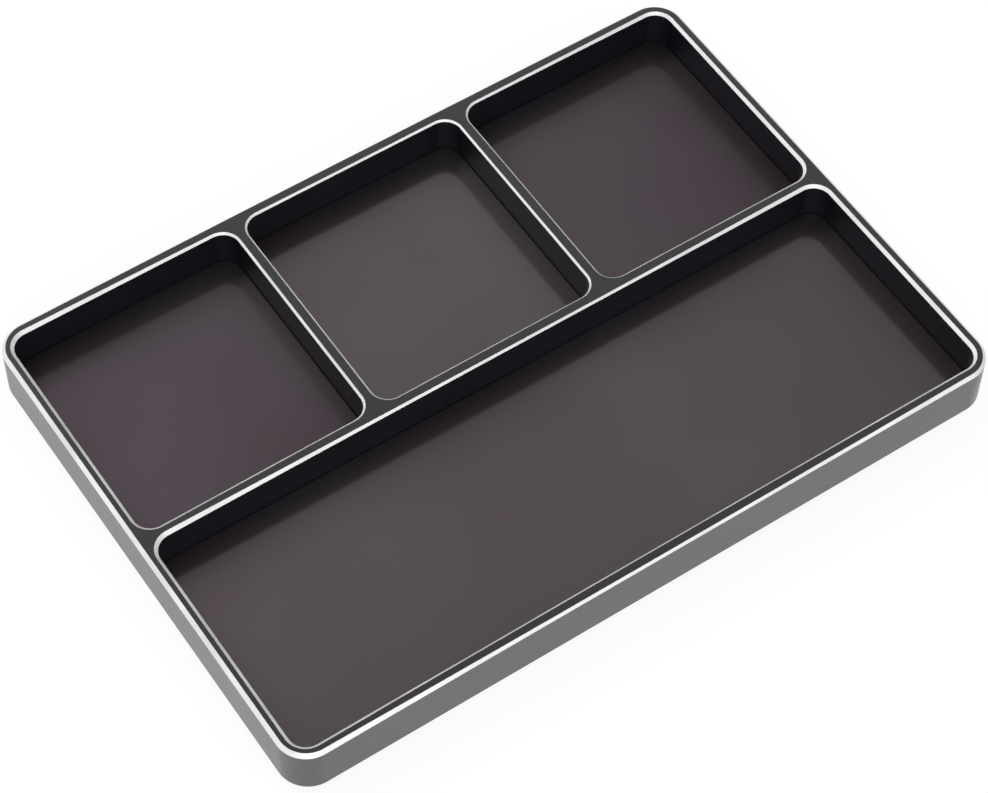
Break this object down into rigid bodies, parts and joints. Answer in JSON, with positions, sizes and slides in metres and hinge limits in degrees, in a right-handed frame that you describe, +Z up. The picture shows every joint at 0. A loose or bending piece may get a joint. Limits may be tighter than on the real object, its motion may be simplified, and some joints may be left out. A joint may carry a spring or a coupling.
{
  "type": "magnetic parts tray",
  "caption": "Flat rectangular milled tray with shallow compartments, each lined with a magnetic sheet that keeps screws and other small steel parts in place.",
  "frame": {"origin": "on the surface that the feet stand on, under the middle of the tray", "axes": "+X along the long side, to the right; +Y from the long front compartment towards the row of short compartments; +Z up, out of the compartments"},
  "size_m": [0.15, 0.105, 0.0123],
  "materials": {
    "anodised_aluminium": "black anodised satin, with the top bevels cut bright",
    "magnet_sheet": "smooth semi-gloss flexible ferrite",
    "adhesive_film": "translucent transfer film",
    "foot_rubber": "matte moulded rubber"
  },
  "bodies": {
    "root": {"tray_body": "anodised_aluminium", "magnet_sheet_left": "magnet_sheet", "magnet_sheet_middle": "magnet_sheet", "magnet_sheet_right": "magnet_sheet", "magnet_sheet_front": "magnet_sheet", "sheet_adhesive_left": "adhesive_film", "sheet_adhesive_middle": "adhesive_film", "sheet_adhesive_right": "adhesive_film", "sheet_adhesive_front": "adhesive_film", "rubber_foot_front_left": "foot_rubber", "rubber_foot_front_right": "foot_rubber", "rubber_foot_back_left": "foot_rubber", "rubber_foot_back_right": "foot_rubber", "foot_adhesive_front_left": "adhesive_film", "foot_adhesive_front_right": "adhesive_film", "foot_adhesive_back_left": "adhesive_film", "foot_adhesive_back_right": "adhesive_film"}
  },
  "joints": []
}
